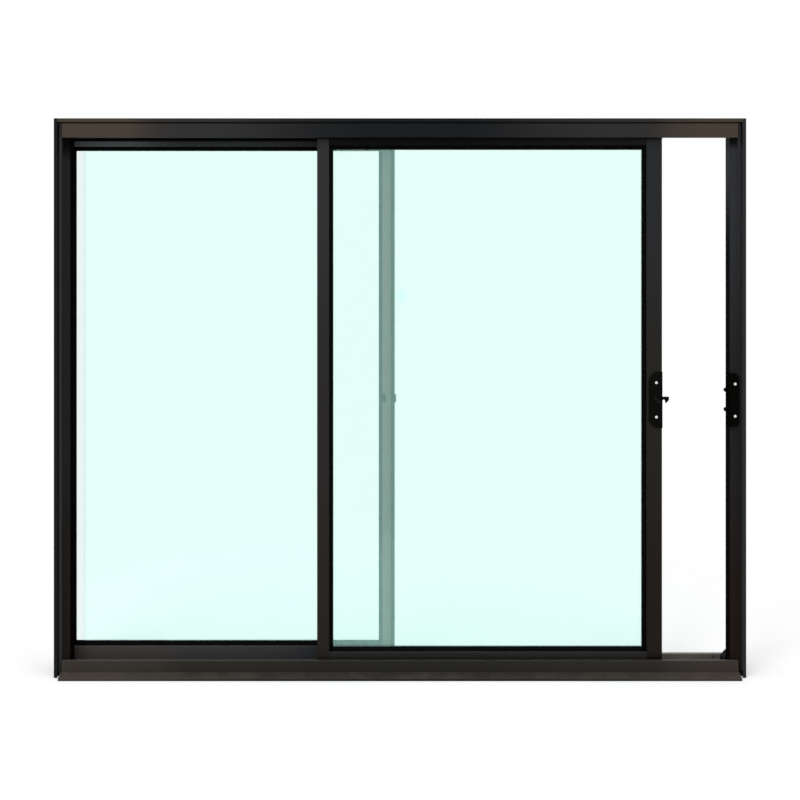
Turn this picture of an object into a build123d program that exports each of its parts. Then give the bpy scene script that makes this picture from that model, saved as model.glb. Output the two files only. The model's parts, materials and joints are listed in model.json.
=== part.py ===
"""Two-sash horizontal sliding window in dark powder-coated aluminium.

Millimetres. X runs along the window, Y from the room side into the wall, Z up.
The origin is at the bottom centre of the frame. The room side, with the latch, faces -Y.
"""

import os

from build123d import *

os.makedirs("parts", exist_ok=True)

# Frame as a whole
FRAME_WIDTH = 1200.0
FRAME_HEIGHT = 970.0
WALL = 1.4  # wall of every aluminium extrusion
EDGE_CHAMFER = 0.5  # softened outer edges of the extrusions

# Jamb section, measured inward from the outer side of the frame
FIN_WIDTH = 6.0
FIN_GROOVE = 1.5
RIDGE_FRONT = 3.0
RIDGE_BEVEL = 3.0
JAMB_FACE = 11.5
JAMB_FACE_Y = 9.0
RIDGE_HEIGHT = 4.0
REAR_LEG_DEPTH = 9.0
REAR_LEG_REACH = 10.0

# Head section
HEAD_GROOVE = 3.0
FASCIA_HEIGHT = 24.0
FASCIA_DEPTH = 6.0
FASCIA_Y = 1.0
HEAD_MIDDLE_DROP = 28.0
HEAD_REAR_DROP = 20.0

# Sill section
SILL_FLOOR = 2.0
UPSTAND_HEIGHT = 30.0
UPSTAND_DEPTH = 6.0
SILL_REAR_HEIGHT = 18.0
TRACK_TOP = 10.0
TRACK_THICKNESS = 3.0
NOSE_REACH = 15.0
NOSE_ROOT_HEIGHT = 10.4
NOSE_TIP_HEIGHT = 4.0
NOSE_INSET = 12.0
DRAIN_RADIUS = 2.2
DRAIN_HEIGHT = 13.0
DRAIN_INSET = 36.0

# Sashes
SASH_THICKNESS = 20.0
SASH_FACE_Y = 12.0
SASH_SPACING = 10.0  # clear space between the two sashes
REAR_CLEARANCE = 4.0  # between the rear sash and the rear legs
TRACK_CLEARANCE = 2.0  # between the front sash and what runs behind it
SASH_FOOT = 6.0  # height of the sash's lower edge
LIFT_CLEARANCE = 8.4  # free height above a sash
SASH_OPENING = 117.7  # how far the front sash stands open
FRONT_MEETING_X = -27.0  # outer edge of the front sash's meeting stile when closed
REAR_MEETING_X = -9.5  # outer edge of the rear sash's meeting stile
POCKET_CLEARANCE = 0.9
RAIL_HEIGHT = 35.0
REAR_TOP_RAIL_HEIGHT = 32.8
FRONT_INTERLOCK_WIDTH = 21.0
REAR_INTERLOCK_WIDTH = 21.8
LOCK_STILE_WIDTH = 27.0
POCKET_STILE_WIDTH = 13.5
CHANNEL_DEPTH = 10.0
CHANNEL_LIP = 2.5
FOOT_NOTCH_WIDTH = 7.0
FOOT_NOTCH_HEIGHT = 7.0

# Glass and its wrap-around gasket
GLASS_THICKNESS = 4.0
GLASS_BITE = 7.0
GASKET_REVEAL = 6.5
GASKET_TIP = 1.0
GASKET_SHOULDER = 0.6

# Hooked strips on the meeting stiles
STRIP_WIDTH = 6.8
STRIP_REACH = 6.5
STRIP_WALL = 1.5
STRIP_LAP = 3.6
STRIP_TOP_GAP = 1.0

# Pile strips on the top rails
PILE_HEIGHT = 6.5
PILE_THICKNESS = 4.6
PILE_ABOVE_LIP = 11.0

# Rollers under the sashes
WHEEL_RADIUS = 8.0
WHEEL_WIDTH = 8.0
WHEEL_GROOVE = 1.5
WHEEL_LIFT = 0.1
AXLE_RADIUS = 2.0
AXLE_CLEARANCE = 0.1
CAGE_LENGTH = 36.0
CAGE_WALL = 1.5
CAGE_SIDE_GAP = 0.3
CAGE_FOOT = 11.0
ROLLER_INSET = 70.0

# Guides on top of the sashes
GUIDE_LENGTH = 30.0
GUIDE_HEIGHT = 6.0
GUIDE_SIDE_GAP = 0.4
GUIDE_INSET = 60.0

# Hook latch on the front sash
LATCH_HEIGHT_Z = 481.0
LATCH_LENGTH = 98.0
LATCH_WIDTH = 22.7
LATCH_PLATE = 4.0
LATCH_CORNER = 17.0
LATCH_EDGE = 1.2
LATCH_BODY_LENGTH = 70.0
LATCH_BODY_DEPTH = 12.0
LATCH_BODY_GAP = 0.2
LATCH_RECESS_LENGTH = 44.0
LATCH_RECESS_WIDTH = 16.0
LATCH_RECESS_DEPTH = 1.2
LATCH_SCREW_X = 10.5
LATCH_SCREW_SPACING = 60.0
SCREW_RADIUS = 2.0
SCREW_HEAD_RADIUS = 3.6
HOOK_THICKNESS = 3.0
HOOK_GAP = 0.1
HOOK_BACK_SET = 3.5
HOOK_REACH = 13.0
HOOK_TOP = 4.9
HOOK_ROOT = -3.0
HOOK_NOSE = -1.0  # lower end of the hook's upright front
HOOK_TIP_X = 7.5
HOOK_TIP = -6.6
HOOK_THROAT_X = 6.0
HOOK_THROAT = -0.6
HOOK_SHOULDER_X = 3.5
HOOK_SLOT_HEIGHT = 16.0
HOOK_TAIL = 9.0
LEVER_LENGTH = 18.0
LEVER_WIDTH = 6.5
LEVER_HEIGHT = 2.4
LEVER_ANGLE = -42.0

# Keeper on the right jamb
KEEPER_LENGTH = 93.0
KEEPER_CAP = 1.6
KEEPER_CORNER = 11.0
KEEPER_GAP = 0.2
KEEPER_SIDE_LEAF = 2.0
KEEPER_SIDE_DEPTH = 18.0
KEEPER_SCREW_X = 7.5
KEEPER_SCREW_SPACING = 56.0
NUB_RADIUS = 3.0
NUB_REACH = 3.6
NUB_SPACING = 34.0
KEEPER_SLOT_HEIGHT = 24.0

# End block in the free pocket at the foot of the right jamb
END_BLOCK_LENGTH = 24.0
END_BLOCK_HEIGHT = 28.0
END_BLOCK_SLOPE = 8.0
END_BLOCK_STEP = 18.5
END_BLOCK_GAP = 0.3

# Stops on the meeting stile of the rear sash
STOP_HEIGHT = 14.0
STOP_DEPTH = 2.5
STOP_PROUD = 2.5
STOP_FOOT = 6.0

# Fixing holes through the jambs
FIXING_RADIUS = 2.75
FIXING_SPACING = 700.0

# Sizes that follow from the ones above
HALF_WIDTH = FRAME_WIDTH / 2
JAMB_REACH = FIN_WIDTH + FIN_GROOVE + RIDGE_FRONT + RIDGE_BEVEL + JAMB_FACE
RIDGE_REACH = JAMB_REACH - JAMB_FACE
FRONT_MID_Y = SASH_FACE_Y + SASH_THICKNESS / 2
REAR_FACE_Y = SASH_FACE_Y + SASH_THICKNESS + SASH_SPACING
REAR_MID_Y = REAR_FACE_Y + SASH_THICKNESS / 2
BOX_BACK_Y = SASH_FACE_Y + SASH_THICKNESS + TRACK_CLEARANCE
REAR_LEG_Y = REAR_FACE_Y + SASH_THICKNESS + REAR_CLEARANCE
FRAME_DEPTH = REAR_LEG_Y + REAR_LEG_DEPTH
HEAD_UNDERSIDE = FRAME_HEIGHT - WALL
FASCIA_TOP = FRAME_HEIGHT - FIN_WIDTH - HEAD_GROOVE
FASCIA_FOOT = FASCIA_TOP - FASCIA_HEIGHT
FASCIA_BACK_Y = FASCIA_Y + FASCIA_DEPTH
SASH_TOP = HEAD_UNDERSIDE - LIFT_CLEARANCE
SASH_HEIGHT = SASH_TOP - SASH_FOOT
GLASS_LOW = SASH_FOOT + RAIL_HEIGHT
GLASS_HIGH = SASH_TOP - RAIL_HEIGHT
CHANNEL_WIDTH = SASH_THICKNESS - 2 * CHANNEL_LIP
STRIP_FOOT = SASH_FOOT + FOOT_NOTCH_HEIGHT
STRIP_TOP = GLASS_HIGH + PILE_ABOVE_LIP - STRIP_TOP_GAP
CLOSED_RIGHT = HALF_WIDTH - JAMB_REACH
FRONT_LEFT = FRONT_MEETING_X - SASH_OPENING
FRONT_RIGHT = CLOSED_RIGHT - SASH_OPENING
REAR_LEFT = -HALF_WIDTH + WALL + POCKET_CLEARANCE
REAR_RIGHT = REAR_MEETING_X
HOOK_Y = SASH_FACE_Y + HOOK_BACK_SET
LATCH_BODY_RIGHT = WALL + LATCH_BODY_GAP
LATCH_BODY_WIDTH = LOCK_STILE_WIDTH - CHANNEL_DEPTH - 2 * LATCH_BODY_RIGHT - WALL
KEEPER_WIDTH = JAMB_FACE - KEEPER_GAP
KEEPER_CAP_WIDTH = JAMB_FACE + RIDGE_BEVEL


def save(builder, label):
    """Name a finished piece and write it."""
    builder.part.label = label
    export_step(builder.part, f"parts/{label}.step")


def box_between(low, high, mode=Mode.ADD):
    """A box between two corners, joined to or cut from the part being built."""
    centre = [(a + b) / 2 for a, b in zip(low, high)]
    size = [b - a for a, b in zip(low, high)]
    with Locations(tuple(centre)):
        Box(*size, mode=mode)


def section(*points):
    """A straight-sided face in the sketch being built."""
    Polygon(*points, align=None)


# Jambs: one extrusion with a fin, a ridge beside the fin, a hollow box and a rear leg


def jamb(label, side):
    """One jamb, with side -1 for the left and 1 for the right."""
    groove_end = FIN_WIDTH + FIN_GROOVE
    ridge_y = JAMB_FACE_Y - RIDGE_HEIGHT
    outline = [
        (0, 0),
        (FIN_WIDTH, 0),
        (FIN_WIDTH, WALL),
        (WALL, WALL),
        (WALL, JAMB_FACE_Y),
        (groove_end, JAMB_FACE_Y),
        (groove_end, ridge_y),
        (groove_end + RIDGE_FRONT, ridge_y),
        (RIDGE_REACH, JAMB_FACE_Y),
        (JAMB_REACH, JAMB_FACE_Y),
        (JAMB_REACH, BOX_BACK_Y),
        (WALL, BOX_BACK_Y),
        (WALL, REAR_LEG_Y),
        (REAR_LEG_REACH, REAR_LEG_Y),
        (REAR_LEG_REACH, FRAME_DEPTH),
        (0, FRAME_DEPTH),
    ]
    chambers = [(JAMB_REACH, JAMB_FACE_Y, BOX_BACK_Y), (REAR_LEG_REACH, REAR_LEG_Y, FRAME_DEPTH)]
    # The left jamb is fixed beside the rear sash, the right one through its free pocket
    fixing_y = (BOX_BACK_Y + (REAR_FACE_Y if side < 0 else REAR_LEG_Y)) / 2
    with BuildPart() as member:
        with BuildSketch() as profile:
            section(*[(side * (HALF_WIDTH - u), y) for u, y in outline])
            for corner in ((side * CLOSED_RIGHT, JAMB_FACE_Y), (side * CLOSED_RIGHT, BOX_BACK_Y)):
                chamfer(profile.vertices().sort_by_distance(corner)[0], EDGE_CHAMFER)
            for reach, front, back in chambers:
                with Locations((side * (HALF_WIDTH - reach / 2), (front + back) / 2)):
                    Rectangle(reach - 2 * WALL, back - front - 2 * WALL, mode=Mode.SUBTRACT)
        extrude(amount=FRAME_HEIGHT)
        # Only the fin reaches the top: the head's web lies over the rest
        across = sorted((side * HALF_WIDTH, side * CLOSED_RIGHT))
        box_between((across[0], WALL, HEAD_UNDERSIDE), (across[1], FRAME_DEPTH, FRAME_HEIGHT), Mode.SUBTRACT)
        # The box stands on the front track, the rear leg on the sill's rear leg
        inner = sorted((side * (HALF_WIDTH - WALL), side * (CLOSED_RIGHT - WALL)))
        box_between((inner[0], JAMB_FACE_Y, 0), (inner[1], BOX_BACK_Y, TRACK_TOP), Mode.SUBTRACT)
        box_between((inner[0], REAR_LEG_Y, 0), (inner[1], FRAME_DEPTH, SILL_REAR_HEIGHT), Mode.SUBTRACT)
        fixing_centre = (side * HALF_WIDTH, fixing_y, FRAME_HEIGHT / 2)
        with Locations(Plane(origin=fixing_centre, x_dir=(0, 0, 1), z_dir=(side, 0, 0))):
            with Locations((-FIXING_SPACING / 2, 0), (FIXING_SPACING / 2, 0)):
                Hole(FIXING_RADIUS, WALL)
        if side > 0:
            # Slot in the box for the latch hook
            slot_low = LATCH_HEIGHT_Z - KEEPER_SLOT_HEIGHT / 2
            slot_y = HOOK_Y + HOOK_THICKNESS / 2
            box_between(
                (CLOSED_RIGHT, slot_y - HOOK_THICKNESS, slot_low),
                (CLOSED_RIGHT + WALL, slot_y + HOOK_THICKNESS, slot_low + KEEPER_SLOT_HEIGHT),
                Mode.SUBTRACT,
            )
    save(member, label)


jamb("left_jamb", -1)
jamb("right_jamb", 1)


# Head: a web over the jambs, a lip between their fins, a hollow fascia between the ridges, and two legs


with BuildPart() as head:
    with BuildSketch(Plane.YZ):
        section(
            (0, FRAME_HEIGHT),
            (FRAME_DEPTH, FRAME_HEIGHT),
            (FRAME_DEPTH, HEAD_UNDERSIDE),
            (WALL, HEAD_UNDERSIDE),
            (WALL, FRAME_HEIGHT - FIN_WIDTH),
            (0, FRAME_HEIGHT - FIN_WIDTH),
        )
    extrude(amount=HALF_WIDTH, both=True)
    lip_foot = FRAME_HEIGHT - FIN_WIDTH
    lip_end = HALF_WIDTH - FIN_WIDTH
    box_between((-HALF_WIDTH, 0, lip_foot), (-lip_end, WALL, FRAME_HEIGHT), Mode.SUBTRACT)
    box_between((lip_end, 0, lip_foot), (HALF_WIDTH, WALL, FRAME_HEIGHT), Mode.SUBTRACT)
    with BuildSketch(Plane.YZ) as fascia:
        section(
            (FASCIA_Y, FASCIA_TOP),
            (FASCIA_Y, FASCIA_FOOT),
            (FASCIA_BACK_Y, FASCIA_FOOT),
            (FASCIA_BACK_Y, HEAD_UNDERSIDE),
            (FASCIA_BACK_Y - WALL, HEAD_UNDERSIDE),
            (FASCIA_BACK_Y - WALL, FASCIA_TOP),
        )
        chamfer(fascia.vertices().group_by(Axis.X)[0], EDGE_CHAMFER)
        with Locations((FASCIA_Y + FASCIA_DEPTH / 2, FASCIA_TOP - FASCIA_HEIGHT / 2)):
            Rectangle(FASCIA_DEPTH - 2 * WALL, FASCIA_HEIGHT - 2 * WALL, mode=Mode.SUBTRACT)
    extrude(amount=HALF_WIDTH - RIDGE_REACH, both=True)
    box_between(
        (-HALF_WIDTH + WALL, BOX_BACK_Y, FRAME_HEIGHT - HEAD_MIDDLE_DROP),
        (HALF_WIDTH - WALL, BOX_BACK_Y + WALL, HEAD_UNDERSIDE),
    )
    with BuildSketch(Plane.YZ):
        leg_middle = (REAR_LEG_Y + REAR_LEG_DEPTH / 2, FRAME_HEIGHT - HEAD_REAR_DROP / 2)
        with Locations(leg_middle):
            Rectangle(REAR_LEG_DEPTH, HEAD_REAR_DROP)
            Rectangle(REAR_LEG_DEPTH - 2 * WALL, HEAD_REAR_DROP - 2 * WALL, mode=Mode.SUBTRACT)
    extrude(amount=HALF_WIDTH - REAR_LEG_REACH, both=True)
save(head, "head")

# Sill: a floor with two tracks, a hollow upstand, a sloping nose and a low rear leg

with BuildPart() as sill:
    with BuildSketch(Plane.YZ):
        with Locations(((JAMB_FACE_Y + FRAME_DEPTH) / 2, SILL_FLOOR / 2)):
            Rectangle(FRAME_DEPTH - JAMB_FACE_Y, SILL_FLOOR)
        for track_y in (FRONT_MID_Y, REAR_MID_Y):
            crown = TRACK_TOP - TRACK_THICKNESS / 2
            with Locations((track_y, crown / 2)):
                Rectangle(TRACK_THICKNESS, crown)
            with Locations((track_y, crown)):
                Circle(TRACK_THICKNESS / 2)
        with Locations((REAR_LEG_Y + REAR_LEG_DEPTH / 2, SILL_REAR_HEIGHT / 2)):
            Rectangle(REAR_LEG_DEPTH, SILL_REAR_HEIGHT)
            Rectangle(REAR_LEG_DEPTH - 2 * WALL, SILL_REAR_HEIGHT - 2 * WALL, mode=Mode.SUBTRACT)
    extrude(amount=HALF_WIDTH - WALL, both=True)
    with BuildSketch(Plane.YZ) as upstand:
        section((0, 0), (JAMB_FACE_Y, 0), (JAMB_FACE_Y, SILL_FLOOR), (UPSTAND_DEPTH, SILL_FLOOR),
                (UPSTAND_DEPTH, UPSTAND_HEIGHT), (0, UPSTAND_HEIGHT))
        chamfer(upstand.vertices().group_by(Axis.Y)[-1], EDGE_CHAMFER)
        with Locations((UPSTAND_DEPTH / 2, UPSTAND_HEIGHT / 2)):
            Rectangle(UPSTAND_DEPTH - 2 * WALL, UPSTAND_HEIGHT - 2 * WALL, mode=Mode.SUBTRACT)
    extrude(amount=HALF_WIDTH - RIDGE_REACH, both=True)
    with BuildSketch(Plane.YZ) as nose:
        section((0, 0), (0, NOSE_ROOT_HEIGHT), (-NOSE_REACH, NOSE_TIP_HEIGHT), (-NOSE_REACH, 0))
        chamfer(nose.vertices().group_by(Axis.X)[0], EDGE_CHAMFER)
        offset(amount=-WALL, mode=Mode.SUBTRACT)
    extrude(amount=HALF_WIDTH - NOSE_INSET, both=True)
    # Drain holes through the inner wall of the rear leg, one near each end
    with Locations(Plane(origin=(0, REAR_LEG_Y, DRAIN_HEIGHT), x_dir=(1, 0, 0), z_dir=(0, -1, 0))):
        with Locations(*[(way * (HALF_WIDTH - DRAIN_INSET), 0) for way in (-1, 1)]):
            Hole(DRAIN_RADIUS, WALL)
save(sill, "sill")


# Sashes: stiles and rails with a glazing channel, glass in a wrap-around gasket


def sash_section(width, chamber=True, open_base=False):
    """Section of a stile or rail: the channel opens along local +X at the origin."""
    half = SASH_THICKNESS / 2
    soft = half - EDGE_CHAMFER
    section(
        (-width, -soft),
        (-width + EDGE_CHAMFER, -half),
        (-EDGE_CHAMFER, -half),
        (0, -soft),
        (0, soft),
        (-EDGE_CHAMFER, half),
        (-width + EDGE_CHAMFER, half),
        (-width, soft),
    )
    with Locations((-CHANNEL_DEPTH / 2, 0)):
        Rectangle(CHANNEL_DEPTH, CHANNEL_WIDTH, mode=Mode.SUBTRACT)
    if chamber:
        low = -width if open_base else -width + WALL
        high = -CHANNEL_DEPTH - WALL
        with Locations(((low + high) / 2, 0)):
            Rectangle(high - low, 2 * (half - WALL), mode=Mode.SUBTRACT)


def gasket_section():
    """Section of the gasket: it fills the channel and tapers onto the glass."""
    deep = -CHANNEL_DEPTH
    side = CHANNEL_WIDTH / 2
    glass = GLASS_THICKNESS / 2
    tip = glass + GASKET_TIP
    section(
        (deep, -side),
        (GASKET_SHOULDER, -side),
        (GASKET_REVEAL, -tip),
        (GASKET_REVEAL, -glass),
        (-GLASS_BITE, -glass),
        (-GLASS_BITE, glass),
        (GASKET_REVEAL, glass),
        (GASKET_REVEAL, tip),
        (GASKET_SHOULDER, side),
        (deep, side),
    )


def upright_plane(x, mid_y, z, toward):
    """Plane across an upright member, local +X pointing along toward (1 right, -1 left)."""
    return Plane(origin=(x, mid_y, z), x_dir=(toward, 0, 0), z_dir=(0, 0, 1))


def level_plane(x, mid_y, z, toward):
    """Plane across a level member, local +X pointing along toward (1 up, -1 down)."""
    return Plane(origin=(x, mid_y, z), x_dir=(0, 0, toward), z_dir=(1, 0, 0))


def stile(label, x, mid_y, toward, width, chamber=True, latch_cuts=False):
    """A stile whose channel lip is at x and opens along toward."""
    with BuildPart() as member:
        with BuildSketch(upright_plane(x, mid_y, SASH_FOOT, toward)):
            sash_section(width, chamber)
        extrude(amount=SASH_HEIGHT)
        ends = sorted((x, x - toward * width))
        box_between(
            (ends[0], mid_y - FOOT_NOTCH_WIDTH / 2, SASH_FOOT),
            (ends[1], mid_y + FOOT_NOTCH_WIDTH / 2, SASH_FOOT + FOOT_NOTCH_HEIGHT),
            Mode.SUBTRACT,
        )
        if latch_cuts:
            half_body = LATCH_BODY_LENGTH / 2 + LATCH_BODY_GAP
            box_between(
                (FRONT_RIGHT - LATCH_BODY_RIGHT - LATCH_BODY_WIDTH - LATCH_BODY_GAP, SASH_FACE_Y,
                 LATCH_HEIGHT_Z - half_body),
                (FRONT_RIGHT - LATCH_BODY_RIGHT + LATCH_BODY_GAP, SASH_FACE_Y + WALL,
                 LATCH_HEIGHT_Z + half_body),
                Mode.SUBTRACT,
            )
            box_between(
                (FRONT_RIGHT - WALL, HOOK_Y - HOOK_GAP, LATCH_HEIGHT_Z - HOOK_SLOT_HEIGHT / 2),
                (FRONT_RIGHT, HOOK_Y + HOOK_THICKNESS + HOOK_GAP, LATCH_HEIGHT_Z + HOOK_SLOT_HEIGHT / 2),
                Mode.SUBTRACT,
            )
    save(member, label)


def sash(name, left, right, mid_y, left_stile, right_stile, top_rail):
    """Rails, glass and gaskets of one sash between its two stiles' channel lips."""
    glass_high = SASH_TOP - top_rail
    lip_left = left + left_stile
    lip_right = right - right_stile
    length = lip_right - lip_left
    for where, z, toward, rail_height in (
        ("bottom", GLASS_LOW, 1, RAIL_HEIGHT),
        ("top", glass_high, -1, top_rail),
    ):
        with BuildPart() as rail:
            with BuildSketch(level_plane(lip_left, mid_y, z, toward)):
                sash_section(rail_height, open_base=toward > 0)
            extrude(amount=length)
        save(rail, f"{name}_{where}_rail")
        with BuildPart() as level_gasket:
            start = lip_left + GASKET_REVEAL
            with BuildSketch(level_plane(start, mid_y, z, toward)):
                gasket_section()
            extrude(amount=length - 2 * GASKET_REVEAL)
        save(level_gasket, f"{name}_{where}_gasket")
    for where, x, toward in (("left", lip_left, 1), ("right", lip_right, -1)):
        foot = GLASS_LOW - CHANNEL_DEPTH
        with BuildPart() as upright_gasket:
            with BuildSketch(upright_plane(x, mid_y, foot, toward)):
                gasket_section()
            extrude(amount=glass_high + CHANNEL_DEPTH - foot)
            # The ends are closed around the glass edge as a mitred corner would be
            half_glass = GLASS_THICKNESS / 2
            inside = sorted((x - toward * GLASS_BITE, x + toward * GASKET_REVEAL))
            for low, high in (
                (foot, GLASS_LOW - GLASS_BITE),
                (glass_high + GLASS_BITE, glass_high + CHANNEL_DEPTH),
            ):
                box_between((inside[0], mid_y - half_glass, low), (inside[1], mid_y + half_glass, high))
        save(upright_gasket, f"{name}_{where}_gasket")
    with BuildPart() as glass:
        box_between(
            (lip_left - GLASS_BITE, mid_y - GLASS_THICKNESS / 2, GLASS_LOW - GLASS_BITE),
            (lip_right + GLASS_BITE, mid_y + GLASS_THICKNESS / 2, glass_high + GLASS_BITE),
        )
    save(glass, f"{name}_glass")


stile("front_interlock_stile", FRONT_LEFT + FRONT_INTERLOCK_WIDTH, FRONT_MID_Y, 1, FRONT_INTERLOCK_WIDTH)
stile("front_lock_stile", FRONT_RIGHT - LOCK_STILE_WIDTH, FRONT_MID_Y, -1, LOCK_STILE_WIDTH,
      latch_cuts=True)
stile("rear_pocket_stile", REAR_LEFT + POCKET_STILE_WIDTH, REAR_MID_Y, 1, POCKET_STILE_WIDTH,
      chamber=False)
stile("rear_interlock_stile", REAR_RIGHT - REAR_INTERLOCK_WIDTH, REAR_MID_Y, -1, REAR_INTERLOCK_WIDTH)
sash("front", FRONT_LEFT, FRONT_RIGHT, FRONT_MID_Y, FRONT_INTERLOCK_WIDTH, LOCK_STILE_WIDTH, RAIL_HEIGHT)
sash("rear", REAR_LEFT, REAR_RIGHT, REAR_MID_Y, POCKET_STILE_WIDTH, REAR_INTERLOCK_WIDTH,
     REAR_TOP_RAIL_HEIGHT)


# Hooked strips that catch each other when the window is closed


def hooked_strip(label, x, y, along, outward):
    """A C strip with its back at x, opening along X by along, standing off the stile by outward."""
    with BuildPart() as strip:
        with BuildSketch(Plane.XY.offset(STRIP_FOOT)):
            section(
                (x, y),
                (x + along * STRIP_WIDTH, y),
                (x + along * STRIP_WIDTH, y + outward * STRIP_WALL),
                (x + along * STRIP_WALL, y + outward * STRIP_WALL),
                (x + along * STRIP_WALL, y + outward * (STRIP_REACH - STRIP_WALL)),
                (x + along * STRIP_WIDTH, y + outward * (STRIP_REACH - STRIP_WALL)),
                (x + along * STRIP_WIDTH, y + outward * STRIP_REACH),
                (x, y + outward * STRIP_REACH),
            )
        extrude(amount=STRIP_TOP - STRIP_FOOT)
    save(strip, label)


rear_strip_tip = REAR_RIGHT - STRIP_WIDTH
front_strip_back = rear_strip_tip + STRIP_LAP - STRIP_WIDTH - SASH_OPENING
hooked_strip("rear_interlock_strip", REAR_RIGHT, REAR_FACE_Y, -1, -1)
hooked_strip("front_interlock_strip", front_strip_back, SASH_FACE_Y + SASH_THICKNESS, 1, 1)

# Pile strips, rollers and guides of each sash

for name, left, right, face_y, channel_front, channel_back in (
    ("front", FRONT_LEFT, FRONT_RIGHT, SASH_FACE_Y, FASCIA_BACK_Y, BOX_BACK_Y),
    ("rear", REAR_LEFT, REAR_RIGHT, REAR_FACE_Y, BOX_BACK_Y + WALL, REAR_LEG_Y),
):
    mid_y = face_y + SASH_THICKNESS / 2
    with BuildPart() as pile:
        low = GLASS_HIGH + PILE_ABOVE_LIP
        box_between((left, face_y - PILE_THICKNESS, low), (right, face_y, low + PILE_HEIGHT))
    save(pile, f"{name}_top_pile")

    roller_places = (left + ROLLER_INSET, right - ROLLER_INSET)
    axle_z = TRACK_TOP + WHEEL_LIFT + WHEEL_RADIUS - WHEEL_GROOVE
    cage_half = SASH_THICKNESS / 2 - WALL - CAGE_SIDE_GAP
    cage_top = GLASS_LOW - CHANNEL_DEPTH - WALL
    with BuildPart() as wheels:
        for x in roller_places:
            with BuildSketch(Plane(origin=(x, mid_y, axle_z), x_dir=(0, 1, 0), z_dir=(1, 0, 0))):
                section(
                    (-cage_half, 0),
                    (-cage_half, AXLE_RADIUS),
                    (-WHEEL_WIDTH / 2, AXLE_RADIUS),
                    (-WHEEL_WIDTH / 2, WHEEL_RADIUS),
                    (-TRACK_THICKNESS / 2 - WHEEL_GROOVE / 2, WHEEL_RADIUS),
                    (-TRACK_THICKNESS / 2, WHEEL_RADIUS - WHEEL_GROOVE),
                    (TRACK_THICKNESS / 2, WHEEL_RADIUS - WHEEL_GROOVE),
                    (TRACK_THICKNESS / 2 + WHEEL_GROOVE / 2, WHEEL_RADIUS),
                    (WHEEL_WIDTH / 2, WHEEL_RADIUS),
                    (WHEEL_WIDTH / 2, AXLE_RADIUS),
                    (cage_half, AXLE_RADIUS),
                    (cage_half, 0),
                )
            revolve(axis=Axis((x, mid_y, axle_z), (0, 1, 0)))
    save(wheels, f"{name}_roller_wheels")
    with BuildPart() as cages:
        for x in roller_places:
            low = (x - CAGE_LENGTH / 2, mid_y - cage_half, CAGE_FOOT)
            high = (x + CAGE_LENGTH / 2, mid_y + cage_half, cage_top)
            box_between(low, high)
            box_between(
                (low[0], low[1] + CAGE_WALL, CAGE_FOOT),
                (high[0], high[1] - CAGE_WALL, cage_top - CAGE_WALL),
                Mode.SUBTRACT,
            )
            with Locations(Location((x, mid_y, axle_z), (90, 0, 0))):
                Cylinder(AXLE_RADIUS + AXLE_CLEARANCE, SASH_THICKNESS, mode=Mode.SUBTRACT)
    save(cages, f"{name}_roller_cages")

    with BuildPart() as guides:
        for x in (left + GUIDE_INSET, right - GUIDE_INSET):
            box_between(
                (x - GUIDE_LENGTH / 2, channel_front + GUIDE_SIDE_GAP, SASH_TOP),
                (x + GUIDE_LENGTH / 2, channel_back - GUIDE_SIDE_GAP, SASH_TOP + GUIDE_HEIGHT),
            )
    save(guides, f"{name}_top_guides")

# Hook latch: plate and body in the lock stile, a hook in the body and a thumb lever on the plate

latch_plane = Plane(origin=(FRONT_RIGHT, SASH_FACE_Y, LATCH_HEIGHT_Z), x_dir=(1, 0, 0), z_dir=(0, -1, 0))

hook_plane = Plane(origin=(FRONT_RIGHT, HOOK_Y, LATCH_HEIGHT_Z), x_dir=(1, 0, 0), z_dir=(0, -1, 0))
body_right = FRONT_RIGHT - LATCH_BODY_RIGHT
hook_tail_x = FRONT_RIGHT - HOOK_TAIL

with BuildPart() as latch_case:
    with BuildSketch(latch_plane) as plate:
        with Locations((-LATCH_WIDTH / 2, 0)):
            Rectangle(LATCH_WIDTH, LATCH_LENGTH)
        fillet(plate.vertices().group_by(Axis.X)[0], LATCH_CORNER)
    extrude(amount=LATCH_PLATE)
    fillet(latch_case.faces().sort_by(Axis.Y)[0].edges(), LATCH_EDGE)
    with BuildSketch(latch_plane.offset(LATCH_PLATE)):
        with Locations((-LATCH_SCREW_X, 0)):
            SlotOverall(LATCH_RECESS_LENGTH, LATCH_RECESS_WIDTH, rotation=90)
    extrude(amount=-LATCH_RECESS_DEPTH, mode=Mode.SUBTRACT)
    box_between(
        (body_right - LATCH_BODY_WIDTH, SASH_FACE_Y, LATCH_HEIGHT_Z - LATCH_BODY_LENGTH / 2),
        (body_right, SASH_FACE_Y + LATCH_BODY_DEPTH, LATCH_HEIGHT_Z + LATCH_BODY_LENGTH / 2),
    )
    box_between(
        (hook_tail_x - HOOK_GAP, HOOK_Y - HOOK_GAP, LATCH_HEIGHT_Z - HOOK_SLOT_HEIGHT / 2),
        (body_right, HOOK_Y + HOOK_THICKNESS + HOOK_GAP, LATCH_HEIGHT_Z + HOOK_SLOT_HEIGHT / 2),
        Mode.SUBTRACT,
    )
    with Locations(latch_plane.offset(LATCH_PLATE)):
        with Locations(*[(-LATCH_SCREW_X, way * LATCH_SCREW_SPACING / 2) for way in (1, -1)]):
            CounterSinkHole(SCREW_RADIUS, SCREW_HEAD_RADIUS, LATCH_PLATE + LATCH_BODY_DEPTH)
save(latch_case, "latch_case")

with BuildPart() as latch_hook:
    with BuildSketch(hook_plane):
        section(
            (-HOOK_TAIL, HOOK_TOP),
            (HOOK_REACH, HOOK_TOP),
            (HOOK_REACH, HOOK_NOSE),
            (HOOK_TIP_X, HOOK_TIP),
            (HOOK_THROAT_X, HOOK_THROAT),
            (HOOK_SHOULDER_X, 0),
            (0, HOOK_ROOT),
            (-HOOK_TAIL, HOOK_ROOT),
        )
    extrude(amount=-HOOK_THICKNESS)
save(latch_hook, "latch_hook")

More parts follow.
